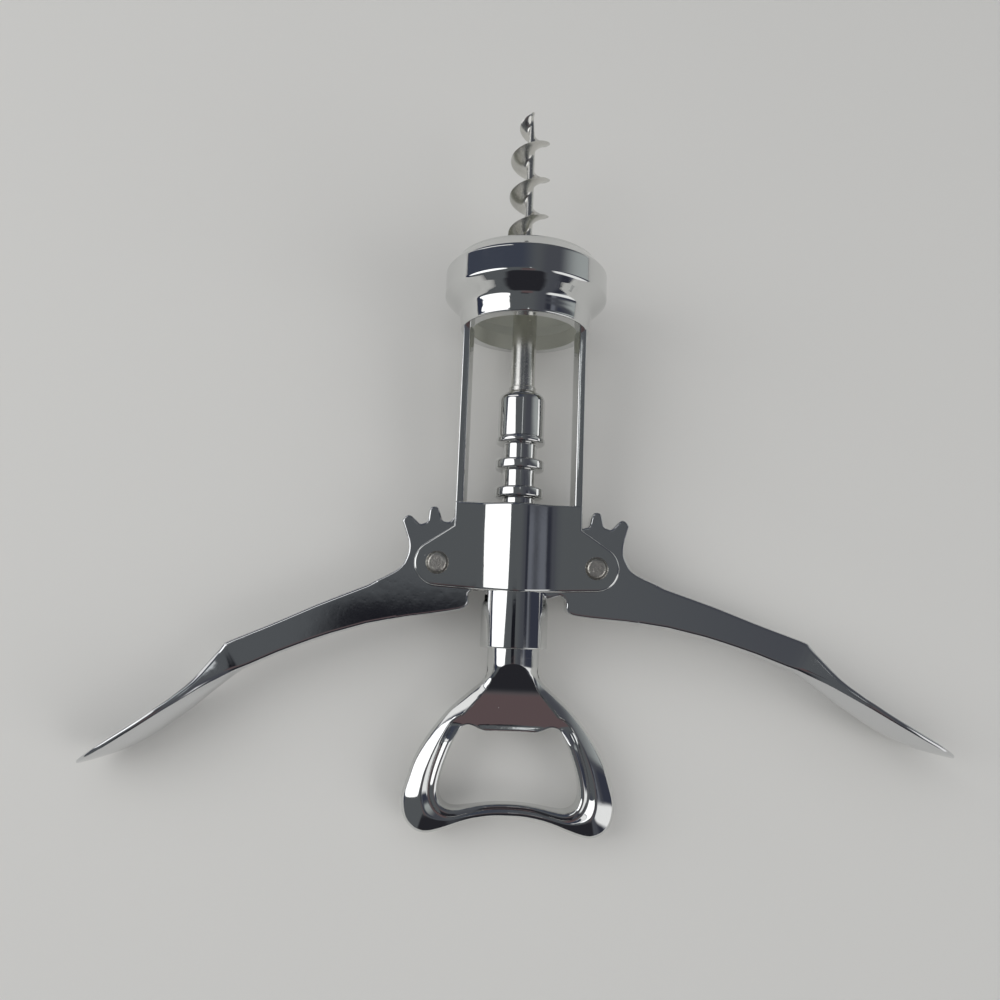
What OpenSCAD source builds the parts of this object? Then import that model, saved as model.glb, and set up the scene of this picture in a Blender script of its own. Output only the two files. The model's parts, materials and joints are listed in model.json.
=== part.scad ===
// Wing corkscrew with a cap-lifter handle, lying on its back with the wings spread.
// Tool frame: Y is the screw axis and points to the worm, X runs from wing to wing,
// Z is the front, and the two wing pivots lie on Y = 0.
// lie_down() then tips the tool until it rests on the bell and on a wing paddle.

/* [Bell] */
// Outer diameter of the bell
bell_d = 38; // [35:0.5:44]
// Length of the bell from its lower rim to its mouth
bell_len = 16.6; // [15.6:0.2:24]
// Width of the straight band round the mouth
band_w = 7.7; // [5:0.1:8.5]
// Rounding of the mouth's outer edge
mouth_edge_r = 1.5; // [0.5:0.1:2]
// Rounding of the shoulder under the band
shoulder_r = 2; // [1:0.1:3]
// Outer diameter of the lower rim
rim_d = 29.8; // [29:0.2:32]
// Diameter of the cup that goes over the bottle
cup_d = 31.6; // [29:0.2:33]
// Diameter of the throat that the worm passes
throat_d = 24.8; // [21:0.2:26]
// Height of the throat wall
throat_len = 3.7; // [2:0.1:4.5]

/* [Frame] */
// Clear length of the window between housing and bell
window_len = 41; // [34:0.5:55]
// Distance from the screw axis to the outside of a side bar
bar_out = 14.2; // [13.6:0.1:14.6]
// Thickness of a side bar at its front edge
bar_t = 1.7; // [1.2:0.1:2.4]
// Ridge that the casting draft leaves along the inside of a bar
bar_draft = 0.8; // [0.2:0.1:1.2]
// Depth of a side bar, front to back
bar_depth = 9; // [6:0.5:10]
// Height of the housing above the pivots
housing_top = 13.85; // [13.6:0.05:18]
// Depth of the housing's centre below the pivots
housing_drop = 6; // [5.4:0.1:9]
// Thickness of one housing cheek
cheek_t = 2; // [1.6:0.1:4]
// Height at which a cheek's side slopes off to its lobe
cheek_shoulder = 8.4; // [6.5:0.1:10]
// Radius of a cheek's lobe round the pivot
lobe_r = 5.1; // [4:0.1:6]
// How far the housing's round belly stands out of the cheeks
belly_rise = 2.6; // [2.4:0.1:4]
// Slope of the belly's flanks
belly_slope = 22; // [16:1:30]
// Outer diameter of the collar
collar_d = 15; // [14.4:0.1:17]
// Length of the collar below the housing
collar_len = 12.05; // [9:0.05:16]

/* [Rack and wings] */
// Distance of each pivot from the screw axis
pivot_x = 17.6; // [17.4:0.1:18.2]
// Distance from ring to ring on the rack
ring_pitch = 6.4; // [6.3:0.05:6.6]
// Number of rings on the rack
ring_count = 6; // [5:1:6]
// Thickness of a rack ring
ring_t = 2.4; // [2:0.1:2.6]
// Diameter of a rack ring
ring_d = 11.2; // [10.8:0.1:11.4]
// Diameter of the rack between its rings
groove_d = 7.5; // [7:0.1:8]
// Diameter of the barrel above the rings
barrel_d = 10.9; // [9:0.1:11.4]
// Length of the barrel
barrel_len = 12.2; // [8:0.1:16]
// Rounding of the barrel's top
barrel_round = 2.2; // [0.5:0.1:2.4]
// Place of the groove that a wing tooth fills at rest, above the pivots
mesh_y = 0.75; // [0.4:0.05:1.1]
// Thickness of a wing
wing_t = 6; // [4:0.1:7]
// Length of a wing from its pivot to its tip
wing_reach = 88.9; // [80:0.1:110]
// Mean angle by which the wings hang below the pivot line
wing_droop = 28; // [20:0.5:34]
// Play in the teeth, by which the left wing hangs lower and the right one higher
wing_play = 2.9; // [0:0.1:3]
// Tip radius of a wing's teeth
tooth_tip_r = 12.85; // [12.6:0.05:12.95]
// Root radius of a wing's teeth
tooth_root_r = 9.85; // [9.4:0.05:10.1]
// Width of the gap between two teeth at their tips
tooth_gap = 4.5; // [4.3:0.1:4.7]
// Number of teeth on a wing
tooth_count = 6; // [6:1:6]
// Distance of the elbow from the pivot
elbow_u = 49.2; // [44:0.1:56]
// Width of the arm at the elbow
elbow_w = 6.8; // [5:0.1:8]
// Width of the paddle, front to back
paddle_w = 15.2; // [11:0.1:18]
// Thickness of the paddle at its rim
paddle_t = 0.8; // [0.7:0.1:1.6]
// How far the paddle's middle bulges
paddle_crown = 2.5; // [1:0.1:4]
// Diameter of a pivot pin
pin_d = 4; // [3:0.1:5]
// Diameter of the countersink round a pin's staked end
sink_d = 5.1; // [4.4:0.1:6]

/* [Worm] */
// Diameter of the shank
shank_d = 5.6; // [5:0.1:6.2]
// Diameter of the worm over its flange
worm_d = 9.6; // [8:0.1:11]
// Diameter of the worm's core
core_d = 1.9; // [1.5:0.1:3]
// Distance between the worm's turns
worm_pitch = 9.35; // [8:0.05:11]
// Length of the worm, from the end of the shank to the point
worm_len = 44; // [38:0.5:60]
// How far inside the mouth the worm starts
worm_inset = 4.2; // [1:0.1:6]
// Height of the stop collar on the shank
stop_len = 1.1; // [0.8:0.1:2]
// Diameter of the stop collar on the shank
stop_d = 6.3; // [6.2:0.1:7.4]

/* [Handle] */
// Diameter of the handle's shaft
shaft_d = 11.5; // [11.5:0.1:12.2]
// Shaft left open between the collar and the handle's flare
shaft_gap = 5.8; // [3:0.1:7]
// Width of the handle
handle_w = 46.2; // [40:0.2:56]
// Length of the handle below the shaft's end
handle_len = 34.1; // [30:0.1:44]
// Thickness of the handle's web
web_t = 2.6; // [1.8:0.1:3.4]
// Depth of the socket that takes the shank
socket_len = 11; // [8:0.5:13]
// Diameter of the cross pin through the shaft
cross_pin_d = 2; // [1.5:0.1:2.5]

/* [Fits] */
// Radial running clearance of a pivot pin and of the shank
run_gap = 0.06; // [0.03:0.01:0.1]
// Radial clearance of the shaft in the collar
slide_gap = 0.08; // [0.05:0.01:0.1]
// Clearance beside a wing in its slot
side_gap = 0.1; // [0.05:0.01:0.3]
// Clearance round the teeth's tips
sweep_gap = 0.45; // [0.3:0.05:0.6]

/* [Hidden] */
$fn = 96;
EPS = 0.01;

// Places along the screw axis
rim_y = housing_top + window_len;
mouth_y = rim_y + bell_len;
band_y = mouth_y - band_w;
collar_end = -housing_drop - collar_len;
flare_y = collar_end - shaft_gap;
handle_end = flare_y - handle_len;
top_groove_y = mesh_y + 4 * ring_pitch;
barrel_y = top_groove_y + (ring_pitch - ring_t) / 2;
barrel_top = barrel_y + barrel_len;
rack_end = top_groove_y - (ring_count - 0.5) * ring_pitch - ring_t / 2;
worm_y = mouth_y - worm_inset;

// Rack and pinion: the teeth stand at twelve to the turn and roll on the rings' pitch
tooth_step = 30;
mesh_r = ring_pitch * 360 / tooth_step / (2 * PI);
tooth_phase = 180 + wing_droop - mesh_y / mesh_r * 180 / PI - 4 * tooth_step;
slot_t = wing_t + 2 * side_gap;
housing_t = slot_t + 2 * cheek_t;
sweep_r = tooth_tip_r + sweep_gap;
shaft_bore_d = shaft_d + 2 * slide_gap;

// Wing outline, in the wing's own frame: pivot at the origin, tip on +X
heel_r = 11.3;
heel_angle = -99;
arm_low_u = 11.4;
arm_low_v = -7.2;
elbow_low = 0.3;
elbow_high = elbow_low + elbow_w;
arch_r = 140;
throat_c = [9.5, 9.2];
throat_r = 6.1;

// Turn of the worm that brings its point to the front right, as it lies at rest
worm_twist = 40;

// Rest attitude: the bell's band and the lower wing's paddle both touch the table
widest = 0.6;
low_droop = wing_droop + wing_play;
high_droop = wing_droop - wing_play;
widest_u = elbow_u + widest * (wing_reach - elbow_u);
tilt = atan((bell_d / 2 - paddle_w / 2) / (band_y + widest_u * sin(low_droop)));
lift = bell_d / 2 * cos(tilt) - band_y * sin(tilt);
centre_x = (wing_reach * cos(high_droop) - wing_reach * cos(low_droop)) / 2;
centre_y = (worm_y + worm_len + handle_end) / 2 * cos(tilt);

// ---- helpers ----

// Points of an arc round [cx, cy] from angle a0 to a1
function arc(cx, cy, r, a0, a1, n = 8) =
    [for (i = [0:n]) [cx + r * cos(a0 + (a1 - a0) * i / n), cy + r * sin(a0 + (a1 - a0) * i / n)]];

// Arc of radius r from p to q, bulging to the left of the way from p to q
function bow(p, q, r, n = 12) =
    let (d = q - p, l = norm(d), m = (p + q) / 2, h = sqrt(r * r - l * l / 4),
         c = m + [d[1], -d[0]] / l * h,
         a0 = atan2(p[1] - c[1], p[0] - c[0]), half = asin(l / 2 / r))
    [for (i = [0:n]) c + r * [cos(a0 - 2 * half * i / n), sin(a0 - 2 * half * i / n)]];

// Catmull-Rom curve through a list of points of any dimension
function curve(p, steps = 4) =
    [for (i = [0:len(p) - 2], k = [0:steps - 1])
        let (a = p[max(i - 1, 0)], b = p[i], c = p[i + 1], d = p[min(i + 2, len(p) - 1)], t = k / steps)
        ((2 * b) + (c - a) * t + (2 * a - 5 * b + 4 * c - d) * t * t
            + (3 * b - a - 3 * c + d) * t * t * t) / 2,
     p[len(p) - 1]];

// Point where the tangent from p meets the circle round c, on the side given by s
function touch(p, c, r, s) =
    let (d = c - p, l = norm(d), a = asin(r / l), t = sqrt(l * l - r * r), b = atan2(d[1], d[0]) + s * a)
    p + t * [cos(b), sin(b)];

function mirrored(p) = [for (i = [len(p) - 1:-1:0]) [-p[i][0], p[i][1]]];
function smooth(t) = let (c = min(max(t, 0), 1)) c * c * (3 - 2 * c);

// Skin over rings of points that all have the same count, closed at both ends
module skin(rings) {
    n = len(rings[0]);
    m = len(rings);
    points = [for (ring = rings) each ring];
    sides = [for (i = [0:m - 2], k = [0:n - 1], h = [0, 1])
        let (a = i * n + k, b = i * n + (k + 1) % n)
        h == 0 ? [a, b, b + n] : [a, b + n, a + n]];
    polyhedron(points, concat(sides, [[for (k = [n - 1:-1:0]) k]], [[for (k = [0:n - 1]) (m - 1) * n + k]]),
        convexity = 6);
}

// Turns a shape made along Z so that it runs along the screw axis, from y on
module on_axis(y = 0) translate([0, y, 0]) rotate([-90, 0, 0]) children();

// Tips the tool from its own frame to the way it lies on a table
module lie_down() translate([-centre_x, -centre_y, lift]) rotate([tilt, 0, 0]) children();

// ---- frame casting ----

module bell() {
    r = bell_d / 2;
    rim_r = rim_d / 2;
    foot = [r - shoulder_r + shoulder_r * cos(45), band_y - shoulder_r * sin(45)];
    hollow = 2.5;
    waist = rim_r + 0.2;
    drop = foot[0] - waist - hollow * (1 - cos(45));
    on_axis() rotate_extrude() polygon(concat(
        [[throat_d / 2, rim_y]],
        arc(rim_r - 0.5, rim_y + 0.5, 0.5, -90, 0, 4),
        arc(waist + hollow, foot[1] - drop - hollow * sin(45), hollow, 180, 135, 5),
        arc(r - shoulder_r, band_y, shoulder_r, -45, 0, 5),
        arc(r - mouth_edge_r, mouth_y - mouth_edge_r, mouth_edge_r, 0, 90, 6),
        [[cup_d / 2 + 0.7, mouth_y], [cup_d / 2, mouth_y - 0.7],
         [cup_d / 2, rim_y + throat_len + 3.4], [throat_d / 2, rim_y + throat_len]]));
}

module side_bar() {
    half = bar_depth / 2;
    inner = bar_out - bar_t;
    on_axis(housing_top - 1) linear_extrude(window_len + 2)
        polygon([[bar_out, -half], [bar_out, half], [inner, half], [inner - bar_draft, 0], [inner, -half]]);
}

// Outline of a cheek: a block between the bars with a lobe round each pivot
module cheek_outline() {
    pivot = [pivot_x, 0];
    shoulder = [bar_out + 0.05, cheek_shoulder];
    bottom = [0, -housing_drop];
    low = touch(bottom, pivot, lobe_r, -1);
    high = touch(shoulder, pivot, lobe_r, 1) - pivot;
    a0 = atan2(low[1], low[0] - pivot_x);
    half = concat([bottom], arc(pivot_x, 0, lobe_r, a0, atan2(high[1], high[0]), 18),
        [shoulder, [shoulder[0], housing_top]]);
    polygon(concat(half, mirrored(half)));
}

// Cross-section of the housing: flat cheeks with a round belly over the bore, whose flanks slope off
module housing_section() {
    wide = pivot_x + lobe_r + 1;
    crest_r = housing_t / 2 + belly_rise;
    flank_x = crest_r * sin(belly_slope);
    flank_z = crest_r * cos(belly_slope);
    foot_x = flank_x + (flank_z - housing_t / 2) / tan(belly_slope);
    quarter = concat([[wide, 0], [wide, housing_t / 2], [foot_x + 0.4, housing_t / 2], [foot_x - 0.3, housing_t / 2 + 0.2]],
        arc(0, 0, crest_r, 90 - belly_slope, 90, 5));
    front = concat(quarter, mirrored(quarter));
    polygon(front);
    mirror([0, 1]) polygon(front);
}

module housing() {
    intersection() {
        linear_extrude(4 * housing_t, center = true) cheek_outline();
        on_axis(-2 * housing_top) linear_extrude(4 * housing_top) housing_section();
    }
}

// Space that a wing's teeth and hub sweep, open to the side
module wing_slot() {
    linear_extrude(slot_t, center = true) {
        translate([pivot_x, 0]) circle(sweep_r);
        translate([bar_out + 0.05, -2 * sweep_r]) square([2 * sweep_r, 4 * sweep_r]);
    }
}

module pivot_hole() {
    sink = (sink_d - pin_d) / 2;
    translate([pivot_x, 0, 0]) {
        cylinder(d = pin_d, h = housing_t + 2, center = true);
        for (s = [0, 180]) rotate([s, 0, 0]) translate([0, 0, housing_t / 2 - sink])
            cylinder(d1 = pin_d, d2 = sink_d + 2 * EPS, h = sink + EPS);
    }
}

module frame_casting() {
    color("silver") lie_down() difference() {
        union() {
            bell();
            for (s = [0, 1]) mirror([s, 0, 0]) intersection() {
                side_bar();
                on_axis(housing_top - 1) cylinder(d = rim_d, h = window_len + 2);
            }
            housing();
            on_axis(collar_end) cylinder(d = collar_d, h = collar_len + 1);
        }
        on_axis(collar_end - 1) cylinder(d = shaft_bore_d, h = housing_top - collar_end + 2);
        on_axis(rim_y - EPS) cylinder(d = throat_d, h = throat_len);
        for (s = [0, 1]) mirror([s, 0, 0]) {
            wing_slot();
            pivot_hole();
        }
    }
}

// A plain pin, staked over at both ends
module pivot_pin(side) {
    stake = 0.2;
    color("gray") lie_down() translate([side * pivot_x, 0, 0]) {
        cylinder(d = pin_d, h = housing_t, center = true);
        for (s = [0, 180]) rotate([s, 0, 0]) translate([0, 0, housing_t / 2])
            cylinder(d1 = pin_d, d2 = pin_d - 3 * stake, h = stake);
    }
}

// ---- wings ----

// Toothed hub: a disc with round-bottomed gaps cut between the teeth
module toothed_hub() {
    gap_r = 1.7;
    first = tooth_phase;
    last = tooth_phase + (tooth_count - 1) * tooth_step;
    difference() {
        union() {
            intersection() {
                circle(tooth_tip_r);
                polygon(concat([[0, 0]], arc(0, 0, 2 * tooth_tip_r, first - 5.5, last + 5.5, 12)));
            }
            intersection() {
                circle(tooth_root_r);
                polygon(concat([[0, 0]], arc(0, 0, 2 * tooth_root_r, last, 360 + heel_angle, 6)));
            }
        }
        for (k = [0:tooth_count - 1]) rotate(first + (k + 0.5) * tooth_step) polygon(concat(
            arc(tooth_root_r + gap_r, 0, gap_r, 110, 250, 10),
            [[tooth_tip_r + 0.6, -tooth_gap / 2], [tooth_tip_r + 0.6, tooth_gap / 2]]));
    }
}

// Arm from the hub to the elbow, with the heel below and the round throat above
module arm_outline() {
    top_tooth = (tooth_tip_r - 0.6) * [cos(tooth_phase - 3), sin(tooth_phase - 3)];
    throat_end = touch([elbow_u, elbow_high], throat_c, throat_r, 1);
    a1 = atan2(throat_end[1] - throat_c[1], throat_end[0] - throat_c[0]);
    polygon(concat(
        [[0, 0], heel_r * [cos(heel_angle), sin(heel_angle)], [0, -heel_r]],
        bow([arm_low_u, arm_low_v], [elbow_u, elbow_low], arch_r),
        [[elbow_u, elbow_high]],
        arc(throat_c[0], throat_c[1], throat_r, a1, -170, 12),
        [top_tooth]));
}

// Cross-section of the paddle at t = 0 (elbow) to 1 (tip): a dished leaf
function leaf_half(t) =
    t < widest ? wing_t / 2 - 0.1 + ((paddle_w - wing_t) / 2 + 0.1) * smooth(t / widest)
               : max(0.5, paddle_w / 2 * pow(max(1 - pow((t - widest) / (1 - widest), 1.9), 0), 0.6));
function leaf_t(t) = paddle_t + (elbow_w - 0.5 - paddle_t) * pow(min(max(1 - t / 0.42, 0), 1), 1.3);
function leaf_low(t) = (elbow_low + 0.3) * (1 - t) - 0.8 * sin(180 * t);
function leaf_crown(t) = 0.1 + paddle_crown * sin(180 * pow(max(t, 0), 1.4));

// Before the elbow the leaf is a root inside the arm, so it's drawn in all round
function leaf_ring(t, n = 9) =
    let (u = elbow_u + t * (wing_reach - elbow_u), root = t < 0 ? 0.4 : 0,
         h = leaf_half(t) - root, low = leaf_low(t) + root, high = leaf_low(t) + leaf_t(t) - root)
    concat(
        [for (k = [0:n]) let (q = 2 * k / n - 1) [u, low - leaf_crown(t) * (1 - q * q), h * q]],
        [for (k = [n:-1:0]) let (q = 2 * k / n - 1) [u, high - 0.65 * leaf_crown(t) * (1 - q * q), h * q]]);

module paddle() skin([leaf_ring(-0.04), for (k = [0:18]) leaf_ring(pow(k / 18, 0.9))]);

module wing(side, droop) {
    color("silver") lie_down() translate([side * pivot_x, 0, 0])
        mirror([side < 0 ? 1 : 0, 0, 0]) rotate(-droop) {
            difference() {
                linear_extrude(wing_t, center = true) {
                    toothed_hub();
                    arm_outline();
                }
                cylinder(d = pin_d + 2 * run_gap, h = wing_t + 2, center = true);
            }
            paddle();
        }
}

// ---- screw ----

// Round rack: a barrel over a stack of rings, bored to turn on the shank
module rack_sleeve() {
    edge = 0.25;
    bore_r = shank_d / 2 + run_gap;
    rings = [for (k = [0:ring_count - 1]) top_groove_y - (k + 0.5) * ring_pitch];
    color("silver") lie_down() on_axis() rotate_extrude() polygon(concat(
        [[bore_r, barrel_top]],
        arc(barrel_d / 2 - barrel_round, barrel_top - barrel_round, barrel_round, 90, 0, 6),
        [[barrel_d / 2, barrel_y + edge], [barrel_d / 2 - edge, barrel_y], [groove_d / 2, barrel_y]],
        [for (y = rings) each [
            [groove_d / 2, y + ring_t / 2], [ring_d / 2 - edge, y + ring_t / 2],
            [ring_d / 2, y + ring_t / 2 - edge], [ring_d / 2, y - ring_t / 2 + edge],
            [ring_d / 2 - edge, y - ring_t / 2],
            [y > rings[ring_count - 1] ? groove_d / 2 : bore_r, y - ring_t / 2]]]));
}

// Thin stop on the shank that keeps the rack from sliding off
module stop_collar() {
    edge = 0.2;
    r = stop_d / 2;
    color("silver") lie_down() on_axis(barrel_top) rotate_extrude() polygon([
        [shank_d / 2, 0], [r, 0], [r, stop_len - edge], [r - edge, stop_len], [shank_d / 2, stop_len]]);
}

// Slice of the worm: a core with one flange, as a closed loop of points
function worm_slice(grow, n = 18) =
    [for (k = [0:n - 1]) let (a = 360 * k / n - 180, f = pow(max(cos(a / 1.15), 0), 7),
        r = core_d / 2 + (worm_d / 2 - core_d / 2) * f)
        grow * r * [cos(a), sin(a)]];

// The flange swells out of the shank's end and runs in to a point on the axis
module worm_helix() {
    turns = worm_len / worm_pitch;
    steps = ceil(turns * 20);
    point_len = worm_pitch;
    skin([for (i = [0:steps])
        let (y = worm_len * i / steps,
             grow = min(1, pow((worm_len - y) / point_len + 0.002, 0.55)),
             lead = smooth(y / worm_pitch * 2.2),
             a = 360 * y / worm_pitch)
        [for (p = worm_slice(grow)) let (q = norm(p), r = core_d / 2 * grow + (q - core_d / 2 * grow) * lead,
            b = atan2(p[1], p[0]) - a)
            [r * cos(b), y, r * sin(b)]]]);
}

module worm() {
    shank_end = rack_end - socket_len;
    run_out = 3.5;
    color("lightgray") lie_down() {
        on_axis(shank_end) difference() {
            union() {
                cylinder(d = shank_d, h = worm_y - run_out - shank_end);
                translate([0, 0, worm_y - run_out - shank_end])
                    cylinder(d1 = shank_d, d2 = core_d * 0.8, h = run_out * 1.6);
            }
            translate([0, 0, socket_len / 2]) rotate([90, 0, 0])
                cylinder(d = cross_pin_d, h = shank_d + 2, center = true);
        }
        translate([0, worm_y - EPS, 0]) rotate([0, worm_twist, 0]) worm_helix();
    }
}

// Pin that holds the shank in the handle's socket
module cross_pin() {
    color("gray") lie_down() translate([0, rack_end - socket_len / 2, 0])
        cylinder(d = cross_pin_d, h = shaft_d - 0.3, center = true);
}

// ---- opener handle ----

// Rolled rim, right half: x and y as shares of the handle's half width and length, with the
// roll's half width and half height in millimetres, from the shaft round to the bottom bar
rim_path = [
    [0.080, 0.030, 2.3, 4.8], [0.208, -0.105, 2.75, 4.8], [0.400, -0.194, 2.1, 4.0],
    [0.605, -0.345, 2.1, 3.4], [0.778, -0.530, 2.35, 3.2], [0.874, -0.735, 2.75, 3.4],
    [0.825, -0.885, 3.2, 3.5], [0.668, -0.928, 2.4, 3.1], [0.370, -0.875, 1.5, 2.5],
    [0, -0.852, 1.3, 2.2]];
// Opening, right half, in the same shares
eye_path = [
    [0, -0.798], [0.250, -0.808], [0.470, -0.832], [0.585, -0.822], [0.650, -0.776], [0.655, -0.690],
    [0.620, -0.580], [0.553, -0.455], [0.470, -0.352], [0.392, -0.326], [0.320, -0.345], [0.245, -0.358],
    [0, -0.360]];
// Edge of the sunk web, right half, from its arched top down the roll
sunk_path = [
    [0, 0.115], [0.105, 0.075], [0.185, -0.030], [0.320, -0.150], [0.465, -0.258], [0.575, -0.378],
    [0.685, -0.505], [0.755, -0.640], [0.765, -0.740], [0.720, -0.835], [0.600, -0.872], [0.350, -0.842],
    [0, -0.826]];

function on_handle(p) = [p[0] * handle_w / 2, flare_y + p[1] * handle_len];
function half_loop(path) = [for (p = curve(path)) on_handle(p)];

module handle_loop(path) polygon(concat(half_loop(path), mirrored(half_loop(path))));

module rim_half() {
    stations = curve(rim_path);
    n = len(stations);
    sides = 14;
    skin([for (i = [0:n - 1])
        let (p = on_handle(stations[i]),
             q = on_handle(stations[min(i + 1, n - 1)]), o = on_handle(stations[max(i - 1, 0)]),
             along = i == n - 1 ? [-1, 0] : (q - o) / norm(q - o), across = [-along[1], along[0]])
        [for (k = [sides - 1:-1:0]) let (a = 360 * k / sides,
            w = stations[i][2] * cos(a), h = stations[i][3] * sin(a))
            [p[0] + across[0] * w, p[1] + across[1] * w, h]]]);
}

module opener_handle() {
    color("silver") lie_down() difference() {
        union() {
            on_axis(flare_y - 2) cylinder(d = shaft_d, h = rack_end - flare_y + 2);
            for (s = [0, 1]) mirror([s, 0, 0]) rim_half();
            linear_extrude(web_t, center = true) handle_loop(rim_path);
        }
        for (s = [0, 180]) rotate([0, s, 0]) translate([0, 0, web_t / 2])
            linear_extrude(shaft_d) handle_loop(sunk_path);
        linear_extrude(2 * shaft_d, center = true) handle_loop(eye_path);
        on_axis(rack_end - socket_len) cylinder(d = shank_d, h = socket_len + 1);
        translate([0, rack_end - socket_len / 2, 0]) cylinder(d = cross_pin_d, h = 2 * shaft_d, center = true);
    }
}

frame_casting();
pivot_pin(-1);  // left_pivot_pin
pivot_pin(1);  // right_pivot_pin
wing(-1, low_droop);  // left_wing
wing(1, high_droop);  // right_wing
rack_sleeve();
worm();
stop_collar();
cross_pin();
opener_handle();
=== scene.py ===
# %% [markdown]
# # A wing corkscrew in polished chrome
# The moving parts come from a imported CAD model, which is loaded here as a fixed frame. This file
# gives that frame its looks: each visible piece is modelled again with smoother curves and rounded
# edges, because a mirror finish shows every facet, and it rides on the body that it belongs to.

# %% Load the frame
import json
import math
import bpy
from mathutils import Matrix, Vector


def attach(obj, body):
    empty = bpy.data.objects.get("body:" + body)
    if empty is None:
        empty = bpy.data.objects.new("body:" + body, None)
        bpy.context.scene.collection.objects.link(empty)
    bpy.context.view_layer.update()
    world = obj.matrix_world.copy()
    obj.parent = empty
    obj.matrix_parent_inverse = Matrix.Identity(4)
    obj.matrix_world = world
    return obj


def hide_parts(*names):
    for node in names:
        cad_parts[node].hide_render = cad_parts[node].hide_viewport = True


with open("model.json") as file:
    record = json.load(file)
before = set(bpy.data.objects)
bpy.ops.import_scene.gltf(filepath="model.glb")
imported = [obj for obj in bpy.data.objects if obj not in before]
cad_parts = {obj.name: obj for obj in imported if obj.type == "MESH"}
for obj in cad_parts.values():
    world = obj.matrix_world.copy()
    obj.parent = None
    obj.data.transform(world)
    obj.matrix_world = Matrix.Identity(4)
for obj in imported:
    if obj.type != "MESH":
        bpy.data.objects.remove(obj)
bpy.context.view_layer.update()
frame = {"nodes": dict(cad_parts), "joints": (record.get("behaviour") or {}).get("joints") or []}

# %% [markdown]
# ## The tool's own frame
# The corkscrew lies tipped, so it's easier to model it upright: Y along the screw, X from wing to
# wing, Z to the front, in millimetres, with both wing pivots on Y = 0. The joints of the packed
# model say how the tool lies, and one matrix takes a finished piece there.

# %% Read the attitude from the joints
JOINTS = {j["name"]: j for j in frame["joints"]}
axis = JOINTS["handle_spin"]["axis"]
TILT = math.atan2(axis[2], axis[1])
LIE = (Matrix.Translation(JOINTS["handle_spin"]["pos_m"]) @ Matrix.Rotation(TILT, 4, "X")
       @ Matrix.Scale(0.001, 4))
PIVOT_X = 17.6  # from the screw's axis to each wing pivot
SHAFT_R = 5.75
BORE_R = 5.83
DROOP = {"left_wing": 30.9, "right_wing": 25.1}  # degrees below level
print("tilt", round(math.degrees(TILT), 2), "degrees")


# %% [markdown]
# ## Modelling helpers
# Each helper starts from a primitive and works in edit mode, as by hand. `loft` moves the points of
# a grid onto a row of cross-sections, `lathe` spins a profile round the screw's axis and `slab`
# extrudes a flat outline and bevels its rims.

# %% Curves through points
def arc(cx, cy, r, a0, a1, n=8):
    return [(cx + r * math.cos(math.radians(a0 + (a1 - a0) * i / n)),
             cy + r * math.sin(math.radians(a0 + (a1 - a0) * i / n))) for i in range(n + 1)]


def curve(points, steps=4):
    """Catmull-Rom curve through points of any dimension."""
    out = []
    last = len(points) - 1
    for i in range(last):
        p = [points[max(i - 1, 0)], points[i], points[i + 1], points[min(i + 2, last)]]
        for k in range(steps):
            t = k / steps
            out.append(tuple((2 * b + (c - a) * t + (2 * a - 5 * b + 4 * c - d) * t * t
                              + (3 * b - a - 3 * c + d) * t ** 3) / 2 for a, b, c, d in zip(*p)))
    return out + [tuple(points[-1])]


def read_off(table, u):
    """Value at u of a table of (u, value), by straight lines."""
    if u <= table[0][0]:
        return table[0][1]
    for (u0, v0), (u1, v1) in zip(table, table[1:]):
        if u <= u1:
            return v0 + (v1 - v0) * (u - u0) / (u1 - u0)
    return table[-1][1]


def ease(t):
    t = min(max(t, 0), 1)
    return t * t * (3 - 2 * t)


# %% Edit-mode helpers
def named(name):
    piece = bpy.context.object
    piece.name = piece.data.name = name
    return piece


def edit(work):
    """Runs one piece of edit-mode work with everything selected."""
    bpy.ops.object.mode_set(mode="EDIT")
    bpy.ops.mesh.select_all(action="SELECT")
    work()
    bpy.ops.object.mode_set(mode="OBJECT")


def close_up():
    """Welds the points that meet and turns every face outwards."""
    bpy.ops.mesh.remove_doubles(threshold=0.0005)
    bpy.ops.mesh.normals_make_consistent(inside=False)


def pick_edges(test):
    """Selects the edges of the active piece that pass the test on their two ends."""
    mesh = bpy.context.object.data
    bpy.ops.object.mode_set(mode="EDIT")
    bpy.ops.mesh.select_all(action="DESELECT")
    bpy.ops.mesh.select_mode(type="EDGE")
    bpy.ops.object.mode_set(mode="OBJECT")
    for e in mesh.edges:
        e.select = test(mesh.vertices[e.vertices[0]].co, mesh.vertices[e.vertices[1]].co)
    bpy.ops.object.mode_set(mode="EDIT")


def loft(name, rings, looped=False):
    """Skin over closed cross-sections of equal count. A looped row meets its own start."""
    bpy.ops.object.select_all(action="DESELECT")
    rings = list(rings) + ([rings[0]] if looped else [])
    n = len(rings[0])
    bpy.ops.mesh.primitive_grid_add(x_subdivisions=n, y_subdivisions=len(rings) - 1, size=2)
    piece = named(name)
    for v in piece.data.vertices:
        k, i = v.index % (n + 1), v.index // (n + 1)
        v.co = rings[i][k % n]
    edit(close_up)
    if not looped:
        bpy.ops.object.mode_set(mode="EDIT")
        bpy.ops.mesh.select_all(action="DESELECT")
        bpy.ops.mesh.select_mode(type="EDGE")
        bpy.ops.mesh.select_non_manifold()
        bpy.ops.mesh.fill_holes(sides=0)
        bpy.ops.object.mode_set(mode="OBJECT")
    edit(close_up)
    return piece


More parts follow.
